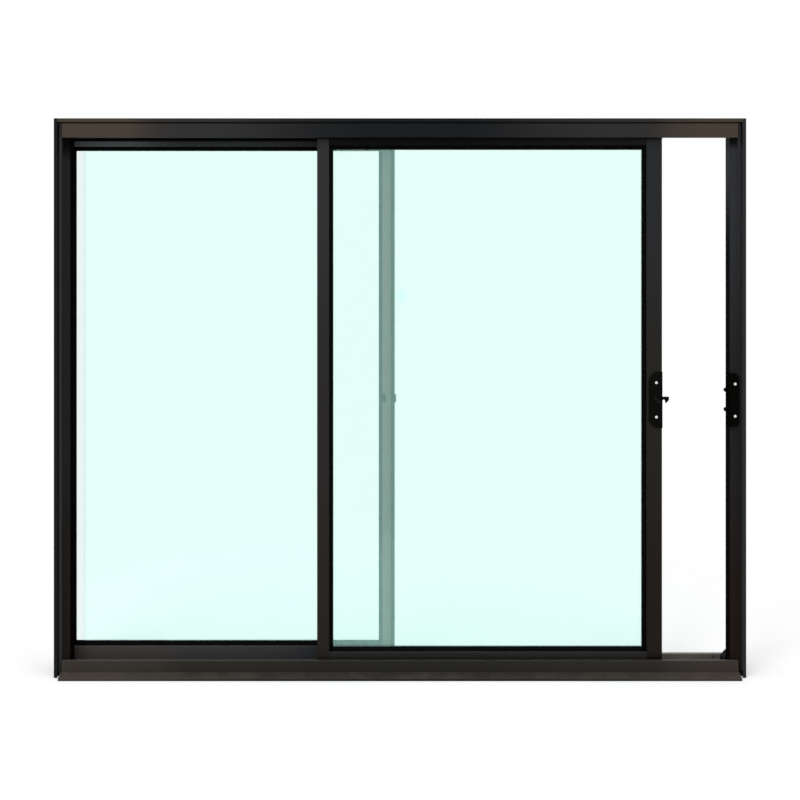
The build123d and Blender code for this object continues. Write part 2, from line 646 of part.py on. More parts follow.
with BuildPart() as latch_lever:
    with BuildSketch(latch_plane.offset(LATCH_PLATE - LATCH_RECESS_DEPTH)):
        with Locations((-LATCH_SCREW_X, 0)):
            SlotOverall(LEVER_LENGTH, LEVER_WIDTH, rotation=LEVER_ANGLE)
    extrude(amount=LATCH_RECESS_DEPTH + LEVER_HEIGHT)
save(latch_lever, "latch_lever")

# Keeper: a front leaf on the jamb's face, a side leaf with a slot for the hook, and two nubs

keeper_plane = Plane(
    origin=(CLOSED_RIGHT, JAMB_FACE_Y, LATCH_HEIGHT_Z), x_dir=(1, 0, 0), z_dir=(0, -1, 0)
)

with BuildPart() as keeper:
    for start, thickness, reach in (
        (0, RIDGE_HEIGHT, KEEPER_WIDTH),
        (RIDGE_HEIGHT, KEEPER_CAP, KEEPER_CAP_WIDTH),
    ):
        with BuildSketch(keeper_plane.offset(start)) as leaf:
            with Locations(((reach - KEEPER_SIDE_LEAF) / 2, 0)):
                Rectangle(reach + KEEPER_SIDE_LEAF, KEEPER_LENGTH)
            fillet(leaf.vertices().group_by(Axis.X)[-1], KEEPER_CORNER)
        extrude(amount=thickness)
    box_between(
        (CLOSED_RIGHT - KEEPER_SIDE_LEAF, JAMB_FACE_Y, LATCH_HEIGHT_Z - KEEPER_LENGTH / 2),
        (CLOSED_RIGHT, JAMB_FACE_Y + KEEPER_SIDE_DEPTH, LATCH_HEIGHT_Z + KEEPER_LENGTH / 2),
    )
    slot_y = HOOK_Y + HOOK_THICKNESS / 2
    box_between(
        (CLOSED_RIGHT - KEEPER_SIDE_LEAF, slot_y - HOOK_THICKNESS, LATCH_HEIGHT_Z - KEEPER_SLOT_HEIGHT / 2),
        (CLOSED_RIGHT, slot_y + HOOK_THICKNESS, LATCH_HEIGHT_Z + KEEPER_SLOT_HEIGHT / 2),
        Mode.SUBTRACT,
    )
    nub_plane = Plane(
        origin=(CLOSED_RIGHT - KEEPER_SIDE_LEAF, slot_y, LATCH_HEIGHT_Z), x_dir=(0, 0, 1), z_dir=(-1, 0, 0)
    )
    with BuildSketch(nub_plane):
        with Locations((-NUB_SPACING / 2, 0), (NUB_SPACING / 2, 0)):
            Circle(NUB_RADIUS)
    extrude(amount=NUB_REACH)
    fillet(keeper.faces().group_by(Axis.X)[0].edges(), NUB_RADIUS / 2)
    with Locations(keeper_plane.offset(RIDGE_HEIGHT + KEEPER_CAP)):
        with Locations(*[(KEEPER_SCREW_X, way * KEEPER_SCREW_SPACING / 2) for way in (1, -1)]):
            CounterSinkHole(SCREW_RADIUS, SCREW_HEAD_RADIUS, RIDGE_HEIGHT + KEEPER_CAP)
save(keeper, "keeper")

# End block over the rear track, in the pocket of the right jamb

with BuildPart() as end_block:
    end_x = HALF_WIDTH - WALL
    tip_x = end_x - END_BLOCK_LENGTH
    with BuildSketch(Plane.XZ.offset(-REAR_FACE_Y)):
        section(
            (end_x, SILL_FLOOR),
            (tip_x, SILL_FLOOR),
            (tip_x, END_BLOCK_STEP),
            (tip_x + END_BLOCK_SLOPE, END_BLOCK_HEIGHT),
            (end_x, END_BLOCK_HEIGHT),
        )
    extrude(amount=-SASH_THICKNESS)
    box_between(
        (tip_x, REAR_MID_Y - TRACK_THICKNESS / 2 - END_BLOCK_GAP, SILL_FLOOR),
        (end_x, REAR_MID_Y + TRACK_THICKNESS / 2 + END_BLOCK_GAP, TRACK_TOP + END_BLOCK_GAP),
        Mode.SUBTRACT,
    )
save(end_block, "sill_end_block")

# Two small stops on the rear sash's meeting stile, one on each side

with BuildPart() as stops:
    stile_left = REAR_RIGHT - REAR_INTERLOCK_WIDTH
    stop_low = LATCH_HEIGHT_Z - STOP_HEIGHT / 2
    box_between(
        (stile_left - STOP_PROUD, REAR_FACE_Y - STOP_DEPTH, stop_low),
        (stile_left + STOP_FOOT, REAR_FACE_Y, stop_low + STOP_HEIGHT),
    )
    box_between(
        (REAR_RIGHT, REAR_FACE_Y - STRIP_REACH, stop_low),
        (REAR_RIGHT + STOP_PROUD, REAR_FACE_Y, stop_low + STOP_HEIGHT),
    )
save(stops, "meeting_stops")
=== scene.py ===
# %% [markdown]
# # A sliding window in dark powder coat
# The window is an aluminium frame with two glazed sashes on tracks. Its solids come from the packed
# model, so this lesson only dresses them: it sets the view, the light and the finishes, and it adds
# the small things that are too fine for the solids, such as screws, rubber buffers and the fibres of
# the pile strips. Everything is in metres: X runs along the sill, Y from the room into the wall, Z up.

# %% Load the frame
import json
import math
from types import SimpleNamespace

import bpy
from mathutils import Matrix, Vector


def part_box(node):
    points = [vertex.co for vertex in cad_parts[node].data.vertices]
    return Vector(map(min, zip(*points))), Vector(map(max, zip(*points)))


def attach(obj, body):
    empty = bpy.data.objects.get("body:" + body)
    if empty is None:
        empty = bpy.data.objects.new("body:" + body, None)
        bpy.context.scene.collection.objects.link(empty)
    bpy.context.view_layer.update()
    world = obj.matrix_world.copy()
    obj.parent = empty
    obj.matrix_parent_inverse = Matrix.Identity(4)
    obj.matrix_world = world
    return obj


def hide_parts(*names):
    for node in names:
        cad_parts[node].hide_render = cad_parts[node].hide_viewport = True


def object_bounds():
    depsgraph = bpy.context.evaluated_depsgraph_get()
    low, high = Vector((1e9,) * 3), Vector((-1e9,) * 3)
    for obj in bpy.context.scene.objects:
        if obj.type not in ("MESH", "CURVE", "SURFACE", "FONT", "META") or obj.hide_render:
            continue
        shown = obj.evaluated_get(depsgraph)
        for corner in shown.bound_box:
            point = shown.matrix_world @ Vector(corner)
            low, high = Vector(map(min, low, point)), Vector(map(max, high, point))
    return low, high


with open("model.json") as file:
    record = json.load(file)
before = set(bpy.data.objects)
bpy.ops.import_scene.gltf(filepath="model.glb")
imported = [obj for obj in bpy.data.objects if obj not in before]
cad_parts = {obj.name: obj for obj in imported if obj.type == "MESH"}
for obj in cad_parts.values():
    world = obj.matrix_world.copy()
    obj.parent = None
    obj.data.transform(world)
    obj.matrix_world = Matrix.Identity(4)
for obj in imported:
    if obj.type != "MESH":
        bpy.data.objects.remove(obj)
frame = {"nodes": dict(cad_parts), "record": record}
cad_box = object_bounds()
nodes = frame["nodes"]
HALF_WIDTH = (cad_box[1][0] - cad_box[0][0]) / 2
HEIGHT = cad_box[1][2] - cad_box[0][2]
print("nodes:", len(nodes), "CAD box:", [tuple(round(v, 4) for v in corner) for corner in cad_box])

# %% [markdown]
# ## The view
# The photograph was taken level, from a little above the middle of the window. Its upright edges stay
# parallel, so the camera looks straight along +Y, and a vertical lens shift brings the window into the
# middle of the square picture instead of tilting the camera.

# %% Camera
CAMERA_DISTANCE = 1.75
CAMERA_HEIGHT = 0.662
PICTURE_WIDTH_AT_FRONT = 1.3864
SENSOR_WIDTH_MM = 36
LENS_SHIFT_Y = -0.13

camera_data = bpy.data.cameras.new("photo_camera")
camera_data.sensor_width = SENSOR_WIDTH_MM
camera_data.lens = SENSOR_WIDTH_MM * CAMERA_DISTANCE / PICTURE_WIDTH_AT_FRONT
camera_data.shift_y = LENS_SHIFT_Y
camera = bpy.data.objects.new("photo_camera", camera_data)
camera.location = (0, -CAMERA_DISTANCE, CAMERA_HEIGHT)
camera.rotation_euler = (math.radians(90), 0, 0)
bpy.context.scene.collection.objects.link(camera)
bpy.context.scene.camera = camera
bpy.context.scene.view_settings.view_transform = "Standard"
print("lens", round(camera_data.lens, 2), "mm")

# %% [markdown]
# ## Node helpers
# Every material below is a small graph of nodes. These helpers add a node, set its sockets and link
# them in one line, so that a graph reads from top to bottom.

# %% Helpers for single nodes


def add(tree, kind, inputs=None, **settings):
    """Add a node of one kind, with its settings, and set or link its inputs by name or number."""
    node = tree.nodes.new(kind)
    for name, value in settings.items():
        setattr(node, name, value)
    for name, value in (inputs or {}).items():
        if isinstance(value, bpy.types.NodeSocket):
            tree.links.new(value, node.inputs[name])
        else:
            node.inputs[name].default_value = value
    return node


def maths(tree, operation, first, second=0.0, third=0.0, clamp=False):
    """One step of arithmetic on sockets or numbers."""
    node = add(tree, "ShaderNodeMath", {0: first, 1: second, 2: third}, operation=operation)
    node.use_clamp = clamp
    return node.outputs[0]


def times(tree, first, second):
    """The product of two sockets or numbers."""
    return maths(tree, "MULTIPLY", first, second)


def mix_colour(tree, amount, first, second):
    """Blend two colours by an amount from 0 to 1."""
    node = add(tree, "ShaderNodeMix", {0: amount, 6: first, 7: second}, data_type="RGBA")
    return node.outputs[2]


def spread(tree, value, low, high, to_low=0.0, to_high=1.0):
    """Map a value from one range to another, with soft ends."""
    node = add(tree, "ShaderNodeMapRange", {0: value, 1: low, 2: high, 3: to_low, 4: to_high})
    node.interpolation_type = "SMOOTHSTEP"
    return node.outputs[0]


def noise(tree, place, scale, detail=4.0, roughness=0.5):
    """Soft noise at a place, from 0 to 1."""
    node = add(tree, "ShaderNodeTexNoise",
               {"Vector": place, "Scale": scale, "Detail": detail, "Roughness": roughness})
    return node.outputs["Fac"]


print("node helpers ready")

# %% Helpers for groups and materials


def shader_group(name, inputs, outputs):
    """Start a shader node group and return its tree with its input and output nodes."""
    tree = bpy.data.node_groups.new(name, "ShaderNodeTree")
    for socket, kind, value in inputs:
        item = tree.interface.new_socket(socket, in_out="INPUT", socket_type=kind)
        item.default_value = value
    for socket, kind in outputs:
        tree.interface.new_socket(socket, in_out="OUTPUT", socket_type=kind)
    return tree, tree.nodes.new("NodeGroupInput").outputs, tree.nodes.new("NodeGroupOutput").inputs


def place_group(tree, group, **inputs):
    """Place a node group in a material, with its inputs given by name."""
    node = tree.nodes.new("ShaderNodeGroup")
    node.node_tree = group
    for name, value in inputs.items():
        socket = node.inputs[name.replace("_", " ")]
        if isinstance(value, bpy.types.NodeSocket):
            tree.links.new(value, socket)
        else:
            socket.default_value = value
    return node.outputs


def new_material(name):
    """A material with its Principled shader, empty of other nodes."""
    material = bpy.data.materials.new(name)
    material.use_nodes = True
    tree = material.node_tree
    return material, tree, tree.nodes["Principled BSDF"]


def object_place(tree):
    """Where a point lies in the window's own frame."""
    return add(tree, "ShaderNodeTexCoord").outputs["Object"]


FLOAT = "NodeSocketFloat"
COLOUR = "NodeSocketColor"
print("group helpers ready")

# %% [markdown]
# ## Shared effects
# Powder coat is sprayed on as dry powder and baked, so it has a fine orange-peel skin. Dust settles on
# whatever faces up. Over the window the coat is painted paler and warmer towards the ends, as painted
# light that falls off from the ends to the middle, with other tones towards the waist and the foot.
# Each of these appears on many pieces, so each one is a node group that is built once and placed in a
# material with that material's own values.

# %% Grain of a sprayed or moulded skin
BROAD_SCALE = 9.0  # of the slow change in roughness over a piece

grain_group, grain_in, grain_out = shader_group(
    "skin_grain",
    [("Grain Size", FLOAT, 0.0012), ("Roughness", FLOAT, 0.45), ("Roughness Spread", FLOAT, 0.08)],
    [("Height", FLOAT), ("Roughness", FLOAT)],
)
grain_place = object_place(grain_group)
grain_scale = maths(grain_group, "DIVIDE", 1.0, grain_in["Grain Size"])
grain_fine = noise(grain_group, grain_place, grain_scale, detail=2.0)
grain_broad = noise(grain_group, grain_place, BROAD_SCALE, roughness=0.6)
grain_shift = maths(grain_group, "SUBTRACT", grain_broad, 0.5)
grain_rough = maths(
    grain_group, "MULTIPLY_ADD", grain_shift, grain_in["Roughness Spread"], grain_in["Roughness"])
grain_group.links.new(grain_fine, grain_out["Height"])
grain_group.links.new(grain_rough, grain_out["Roughness"])
print("group:", grain_group.name)

# %% Dust on faces that look up
DUST_TILT = (0.3, 0.95)  # upward part of a normal, where dust starts to lie and where it lies fully
DUST_SCALE = 35.0
DUST_PATCH = (0.35, 0.75)  # noise values between which the dust thickens
DUST_THINNEST = 0.35

dust_group, dust_in, dust_out = shader_group(
    "settled_dust",
    [("Colour", COLOUR, (0, 0, 0, 1)), ("Dust", COLOUR, (0.20, 0.18, 0.15, 1)), ("Amount", FLOAT, 0.25)],
    [("Colour", COLOUR)],
)
dust_normal = add(dust_group, "ShaderNodeNewGeometry").outputs["True Normal"]
dust_up = add(dust_group, "ShaderNodeSeparateXYZ", {0: dust_normal}).outputs["Z"]
dust_noise = noise(dust_group, object_place(dust_group), DUST_SCALE, detail=5.0, roughness=0.65)
dust_facing = spread(dust_group, dust_up, *DUST_TILT)
dust_patch = spread(dust_group, dust_noise, *DUST_PATCH, DUST_THINNEST, 1.0)
dust_mask = times(dust_group, dust_facing, dust_patch)
dust_mask = maths(dust_group, "MULTIPLY", dust_mask, dust_in["Amount"], clamp=True)
dust_colour = mix_colour(dust_group, dust_mask, dust_in["Colour"], dust_in["Dust"])
dust_group.links.new(dust_colour, dust_out["Colour"])
print("group:", dust_group.name)

# %% Painted falloff of light over the window
FALLOFF_CENTRE = 0.02  # the darkest place lies a little right of the middle
FALLOFF_SCALE = 6.0
FALLOFF_WANDER = 0.12  # how far noise moves the borders between the tones
SHOULDER_RAMP = (0.13 * HALF_WIDTH, 0.60 * HALF_WIDTH)
ENDS_RAMP = (0.65 * HALF_WIDTH, 0.85 * HALF_WIDTH)
WAIST_RAMP = (0.85 * HEIGHT, 0.50 * HEIGHT)
FOOT_RAMP = (0.45 * HEIGHT, 0.10 * HEIGHT)
NEAR_BLACK = (0.01, 0.01, 0.01, 1)

painted_falloff_group, falloff_in, falloff_out = shader_group(
    "painted_light_falloff",
    [(tone, COLOUR, NEAR_BLACK) for tone in ("Middle", "Shoulder", "Ends", "Waist", "Foot")]
    + [("Across", FLOAT, 1.0), ("Down", FLOAT, 1.0)],
    [("Colour", COLOUR)],
)
falloff_place = object_place(painted_falloff_group)
falloff_axes = add(painted_falloff_group, "ShaderNodeSeparateXYZ", {0: falloff_place}).outputs
falloff_noise = noise(painted_falloff_group, falloff_place, FALLOFF_SCALE, detail=3.0)
falloff_shift = maths(painted_falloff_group, "MULTIPLY_ADD", falloff_noise, FALLOFF_WANDER, -FALLOFF_WANDER / 2)
falloff_side = maths(painted_falloff_group, "ABSOLUTE", maths(painted_falloff_group, "SUBTRACT", falloff_axes["X"], FALLOFF_CENTRE))
falloff_side = maths(painted_falloff_group, "ADD", falloff_side, falloff_shift)
falloff_up = maths(painted_falloff_group, "ADD", falloff_axes["Z"], falloff_shift)
painted_falloff_colour = falloff_in["Middle"]
for tone, way, ramp, amount in (
    ("Shoulder", falloff_side, SHOULDER_RAMP, "Across"), ("Ends", falloff_side, ENDS_RAMP, "Across"),
    ("Waist", falloff_up, WAIST_RAMP, "Down"), ("Foot", falloff_up, FOOT_RAMP, "Down"),
):
    share = times(painted_falloff_group, spread(painted_falloff_group, way, *ramp), falloff_in[amount])
    painted_falloff_colour = mix_colour(painted_falloff_group, share, painted_falloff_colour, falloff_in[tone])
painted_falloff_group.links.new(painted_falloff_colour, falloff_out["Colour"])
print("group:", painted_falloff_group.name)

# %% [markdown]
# ## Powder coat
# The coat is nearly black. It is painted paler and warmer towards the ends, as painted light, and
# warmer towards the foot. One function starts a coat with its painted falloff, dust and grain, and
# another ends it. Between the two, a piece can get what only it shows, so that the rest need just one
# line each.

# %% Start and end of a coat
COAT_GLOSS = 0.1
COAT_DUST = (0.16, 0.145, 0.125, 1)
COAT_GRAIN = 0.0011
COAT_ROUGH_SPREAD = 0.1
COAT_PEEL = 0.12  # strength of the orange peel
PEEL_DEPTH = 0.0002


def start_coat(name, across, down=None, dust=0.22, roughness=0.42, gloss=COAT_GLOSS):
    """Begin a coat from one colour or three from the middle to the ends, and two for waist and foot."""
    material, tree, shader = new_material(name)
    place = object_place(tree)
    waist, foot = down or (across[0], across[0])
    painted_falloff = place_group(
        tree, painted_falloff_group, Middle=across[0], Shoulder=across[len(across) // 2], Ends=across[-1],
        Waist=waist, Foot=foot, Across=1.0, Down=1.0 if down else 0.0)
    dusty = place_group(tree, dust_group, Colour=painted_falloff["Colour"], Dust=COAT_DUST, Amount=dust)
    grain = place_group(
        tree, grain_group, Grain_Size=COAT_GRAIN, Roughness=roughness, Roughness_Spread=COAT_ROUGH_SPREAD)
    shader.inputs["Specular IOR Level"].default_value = gloss
    axes = add(tree, "ShaderNodeSeparateXYZ", {0: place}).outputs
    return SimpleNamespace(material=material, tree=tree, shader=shader, place=place, axes=axes,
                           colour=dusty["Colour"], rough=grain["Roughness"], height=grain["Height"])


def end_coat(coat):
    """Link a coat's colour, roughness and orange peel to its shader."""
    peel = add(coat.tree, "ShaderNodeBump",
               {"Strength": COAT_PEEL, "Distance": PEEL_DEPTH, "Height": coat.height})
    coat.tree.links.new(coat.colour, coat.shader.inputs["Base Color"])
    coat.tree.links.new(coat.rough, coat.shader.inputs["Roughness"])
    coat.tree.links.new(peel.outputs["Normal"], coat.shader.inputs["Normal"])
    print("coat:", coat.material.name)
    return coat.material


print("coat helpers ready")

# %% Head, stiles and front rails
# These coats are one powder coat, given a different tone for each piece as painted light. The head runs
# from a near-black middle to brown ends, as painted light that grows towards the ends.
STILE_TOP = (0.026, 0.0245, 0.0255, 1)
STILE_DOWN = ((0.0187, 0.0167, 0.0167, 1), (0.0165, 0.0118, 0.0092, 1))

head_coat = end_coat(start_coat(
    "head_coat", [(0.0031, 0.0045, 0.006, 1), (0.0235, 0.022, 0.022, 1), (0.0565, 0.043, 0.031, 1)]))
stile_coat = end_coat(start_coat("stile_coat", [STILE_TOP], STILE_DOWN))
lock_stile_coat = end_coat(start_coat(
    "lock_stile_coat", [(0.0167, 0.0177, 0.0198, 1)],
    ((0.0137, 0.0119, 0.0093, 1), (0.0093, 0.0055, 0.0035, 1))))
# The top rail is painted darker than the other rails, as painted shadow of the head above it.
top_rail_shadow_coat = end_coat(start_coat(
    "top_rail_shadow_coat", [(0.0045, 0.005, 0.0055, 1), (0.0105, 0.0105, 0.0103, 1), (0.025, 0.023, 0.023, 1)],
    roughness=0.5, gloss=0.03))
bottom_rail_coat = end_coat(start_coat(
    "bottom_rail_coat", [(0.018, 0.0175, 0.0165, 1), (0.021, 0.020, 0.0195, 1), (0.027, 0.027, 0.022, 1)]))

# %% [markdown]
# The rear sash stands behind the front one and its room side catches more light, so its faces towards
# the room are paler than its back. A mask on the depth keeps that tone on those faces alone.

# %% Faces of the rear sash
FACE_FADE = 0.001


def pale_face(name, node, across):
    """A coat that is paler on a node's face towards the room."""
    coat = start_coat(name, across)
    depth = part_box(node)[0][1]
    face = spread(coat.tree, coat.axes["Y"], depth + 2 * FACE_FADE, depth + FACE_FADE)
    coat.colour = mix_colour(coat.tree, face, STILE_TOP, coat.colour)
    return end_coat(coat)


meeting_stile_coat = pale_face("meeting_stile_coat", "rear_interlock_stile", [(0.20, 0.133, 0.128, 1)])
rear_top_coat = pale_face("rear_top_coat", "rear_top_rail", [
    (0.026, 0.026, 0.031, 1), (0.040, 0.048, 0.047, 1), (0.11, 0.122, 0.134, 1)])
rear_bottom_coat = pale_face("rear_bottom_coat", "rear_bottom_rail", [
    (0.037, 0.042, 0.046, 1), (0.062, 0.059, 0.062, 1), (0.077, 0.066, 0.062, 1)])

# %% [markdown]
# The jambs have a thin fin at the wall, a ridge, paler on the left jamb, and a deep side towards the
# sashes. Little light reaches that side and the corner below the head, so both get painted shade, and
# the right jamb's side gets painted light near its top. The groove between the fin and the ridge is
# painted paler, as painted light in its shade. The outer side and the back keep the sheen of fresh coat.

# %% Front of a jamb
RIDGE_DEPTH = 0.0065
FIN_DEPTH = 0.0025
FIN_EDGE = 0.5935
GROOVE_EDGES = (0.592, 0.5992)  # from the ridge to the outer wall
GROOVE_FADE = 0.0005
GROOVE_MOUTH, GROOVE_FLOOR = (0.0053, 0.0062), (0.0100, 0.0096)


def jamb_front(coat, out, fin, groove, paler_ridge):
    """Tone the ridge and the fin, and paint light into the groove between them."""
    tree, depth = coat.tree, coat.axes["Y"]
    # Where a tone is given, the ridge is coloured paler.
    if paler_ridge:
        ridge = spread(tree, depth, RIDGE_DEPTH + FACE_FADE, RIDGE_DEPTH)
        coat.colour = mix_colour(tree, ridge, coat.colour, paler_ridge)
    at_fin = times(tree, spread(tree, out, FIN_EDGE - FACE_FADE, FIN_EDGE),
                   spread(tree, depth, FIN_DEPTH + FACE_FADE, FIN_DEPTH))
    coat.colour = mix_colour(tree, at_fin, coat.colour, fin)
    # Painted light: the groove is coloured paler to lift its shade.
    near, far = GROOVE_EDGES
    between = times(tree, spread(tree, out, near, near + GROOVE_FADE),
                    spread(tree, out, far, far - GROOVE_FADE))
    inside = times(tree, spread(tree, depth, *GROOVE_MOUTH), spread(tree, depth, *GROOVE_FLOOR))
    coat.colour = mix_colour(tree, times(tree, between, inside), coat.colour, groove)


print("jamb front ready")

# %% Painted shade on the side of a jamb
SIDE_EDGE = 0.579  # the side towards the sashes lies nearer to the middle than this
SIDE_START, SIDE_END = 0.0095, 0.013
SIDE_LIGHT = (0.74, 0.92)  # heights between which light from above reaches the side
HEAD_FOOT = 0.937
CORNER_FULL = 0.3  # of the corner's length, from the head down, in full painted shade
# Painted shade, laid on the side towards the sashes and on the corner below the head.
PAINTED_SHADE = (0.0015, 0.0015, 0.0015, 1)
HEAD_SHADOW_STRENGTH = 0.85


def jamb_side(coat, out, side_shade, side_lit, corner_length):
    """Paint shade on the side towards the sashes and on the corner below the head, and paint light near the
    top of the side where a colour for it is given.
    """
    tree, depth, height = coat.tree, coat.axes["Y"], coat.axes["Z"]
    side = times(tree, spread(tree, depth, SIDE_START, SIDE_END),
                 spread(tree, out, SIDE_EDGE + FACE_FADE, SIDE_EDGE))
    side_colour = mix_colour(tree, side_shade, coat.colour, PAINTED_SHADE)
    # Painted light from above, near the top of the side.
    if side_lit:
        side_colour = mix_colour(tree, spread(tree, height, *SIDE_LIGHT), side_colour, side_lit)
    below_head = spread(tree, height, HEAD_FOOT - corner_length, HEAD_FOOT - CORNER_FULL * corner_length)
    behind_ridge = spread(tree, depth, RIDGE_DEPTH + FACE_FADE, RIDGE_DEPTH + 2 * FACE_FADE)
    corner = times(tree, times(tree, below_head, behind_ridge), HEAD_SHADOW_STRENGTH)
    coat.colour = mix_colour(tree, corner, coat.colour, PAINTED_SHADE)
    coat.colour = mix_colour(tree, side, coat.colour, side_colour)


print("jamb side ready")

# %% Both jambs
SOFT_EDGE = 0.003
OUTER_SHEEN = 0.3
OUTER_SHEEN_ROUGHNESS = 0.4
JAMB_ROUGHNESS = 0.6


def jamb_coat(name, top, down, fin, groove, side_shade, corner_length, paler_ridge=None, side_lit=None):
    """The coat of a jamb: its front, its side and corner in painted shade, and the sheen outside."""
    coat = start_coat(name, [top], down, roughness=JAMB_ROUGHNESS, gloss=0.0)
    tree = coat.tree
    out = maths(tree, "ABSOLUTE", coat.axes["X"])
    jamb_front(coat, out, fin, groove, paler_ridge)
    jamb_side(coat, out, side_shade, side_lit, corner_length)
    outside = times(tree, spread(tree, out, SIDE_EDGE + SOFT_EDGE, SIDE_EDGE + 2 * SOFT_EDGE),
                    spread(tree, coat.axes["Y"], SIDE_START, SIDE_END))
    tree.links.new(times(tree, outside, OUTER_SHEEN), coat.shader.inputs["Coat Weight"])
    coat.shader.inputs["Coat Roughness"].default_value = OUTER_SHEEN_ROUGHNESS
    return end_coat(coat)


# The two jambs are one coat in two tones, as painted light: the right one paler and cooler near the top.
left_jamb_coat = jamb_coat(
    "left_jamb_coat", (0.0175, 0.0175, 0.0185, 1),
    ((0.0172, 0.0172, 0.0172, 1), (0.0162, 0.0132, 0.0112, 1)),
    fin=(0.0165, 0.0162, 0.0165, 1), groove=(0.045, 0.044, 0.043, 1),
    side_shade=0.9, corner_length=0.045, paler_ridge=(0.041, 0.040, 0.041, 1))
right_jamb_coat = jamb_coat(
    "right_jamb_coat", (0.0325, 0.035, 0.039, 1),
    ((0.0202, 0.0193, 0.0193, 1), (0.0183, 0.0133, 0.0117, 1)),
    fin=(0.031, 0.031, 0.0325, 1), groove=(0.09, 0.093, 0.098, 1),
    side_shade=0.75, corner_length=0.022, side_lit=(0.06, 0.06, 0.061, 1))

# %% [markdown]
# The sill's tracks have lost their coat where the rollers run, so bare aluminium shows on their crowns.
# The channels beside them are painted paler towards the back, in streaks, as dust and painted light,
# and the ends of the nose in front are painted paler, as painted light from above.

# %% Sill, its channels and its nose
CHANNEL_RAMP = (0.030, 0.066)  # depths between which the dust and painted light grow towards the back
CHANNEL_DUST_AND_LIGHT = (0.20, 0.178, 0.16, 1)
STREAK_SCALE = 60.0
STREAK_PATCH = (0.3, 0.65)
STREAK_THINNEST = 0.85
NOSE_ROOT = (0.0, -0.002)
NOSE_ENDS = (0.25, 0.50)  # distances from the middle between which the nose grows paler
NOSE_PAINTED_LIGHT = (0.075, 0.064, 0.056, 1)
NOSE_LIGHT_AMOUNT = 0.3

sill = start_coat(
    "sill_coat", [(0.017, 0.0155, 0.013, 1), (0.0232, 0.0202, 0.0162, 1), (0.0425, 0.0345, 0.029, 1)],
    dust=0.25, roughness=0.4)
tree, depth = sill.tree, sill.axes["Y"]
streaks = spread(tree, noise(tree, sill.place, STREAK_SCALE), *STREAK_PATCH, STREAK_THINNEST, 1.0)
# The channels grow paler towards the back, in streaks: dust and painted light.
channel = times(tree, spread(tree, depth, *CHANNEL_RAMP), streaks)
sill.colour = mix_colour(tree, channel, sill.colour, CHANNEL_DUST_AND_LIGHT)
# The ends of the nose are painted paler, as painted light from above.
nose_end = spread(tree, maths(tree, "ABSOLUTE", sill.axes["X"]), *NOSE_ENDS, 0.0, NOSE_LIGHT_AMOUNT)
nose = times(tree, spread(tree, depth, *NOSE_ROOT), nose_end)
sill.colour = mix_colour(tree, nose, sill.colour, NOSE_PAINTED_LIGHT)
print("sill dust ready")

# %% Bare crowns of the tracks
BARE_METAL = (0.62, 0.61, 0.59, 1)
BARE_SMOOTHER = -0.12
TRACK_HALF = 0.0015
TRACK_TOP = 0.010
CROWN_WIDTH = 0.6  # of the track's half, fully bare
CROWN_DEPTH = 0.3

bare = 0.0
for pane in ("front_glass", "rear_glass"):
    low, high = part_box(pane)
    aside = maths(tree, "ABSOLUTE", maths(tree, "SUBTRACT", depth, (low[1] + high[1]) / 2))
    near = spread(tree, aside, TRACK_HALF, CROWN_WIDTH * TRACK_HALF)
    above = spread(tree, sill.axes["Z"], TRACK_TOP - TRACK_HALF, TRACK_TOP - CROWN_DEPTH * TRACK_HALF)
    below = maths(tree, "LESS_THAN", sill.axes["Z"], TRACK_TOP + TRACK_HALF)
    bare = maths(tree, "MAXIMUM", times(tree, times(tree, near, above), below), bare)
bare = times(tree, bare, streaks)
sill.colour = mix_colour(tree, bare, sill.colour, BARE_METAL)
sill.rough = maths(tree, "MULTIPLY_ADD", bare, BARE_SMOOTHER, sill.rough)
tree.links.new(bare, sill.shader.inputs["Metallic"])
sill_coat = end_coat(sill)

# %% [markdown]
# ## Glass
# The panes look like a flat pale mint, because they turn back some of the white of the room and tint
# what passes. A shader of pure clear glass would show only what stands behind them, so each face is a
# mix: most of it is clear, some turns light back in the glass's own colour, and the rest is tinted
# glass. The clear share lets light pass straight, so the tinted share hardly bends it either, or a
# second image would show beside the first. Noise in the roughness stands for the film that hands and
# weather leave. Two places on the rear pane differ: beside the left jamb it faces the dark side of
# the frame instead of the room, so there the tint alone has to do it, and behind the front pane a
# second tint would be too strong.

# %% Panes
GLASS_TINT = (0.61, 1.0, 0.90, 1)
GLASS_VEIL = 0.4  # share of a face that isn't plain clear
GLASS_MIRROR = 0.4  # how much of that share turns light back
GLASS_BEND = 1.05  # index of refraction of a face
GLASS_ROUGH = (0.05, 0.12)
FILM_SCALE = 4.0
FILM_PATCH = (0.35, 0.75)


def glass(name):
    """A pane of tinted glass, with the tree, shader and place that a pane with its own strips needs."""
    material, tree, shader = new_material(name)
    place = object_place(tree)
    film = noise(tree, place, FILM_SCALE, detail=5.0, roughness=0.6)
    tree.links.new(spread(tree, film, *FILM_PATCH, *GLASS_ROUGH), shader.inputs["Roughness"])
    shader.inputs["Base Color"].default_value = GLASS_TINT
    shader.inputs["Alpha"].default_value = GLASS_VEIL
    shader.inputs["Metallic"].default_value = GLASS_MIRROR
    shader.inputs["Transmission Weight"].default_value = 1.0
    shader.inputs["IOR"].default_value = GLASS_BEND
    print("glass:", name)
    return material, tree, shader, place


front_pane = glass("front_pane")[0]

# %% The rear pane's two strips
SHADED_EDGE = (-0.567, -0.559)  # the strip beside the left jamb ends here
SHADED_TINT = (0.15, 1.0, 0.85, 1)
SHADED_VEIL = 0.115
COVERED_VEIL = 0.02  # behind the front pane

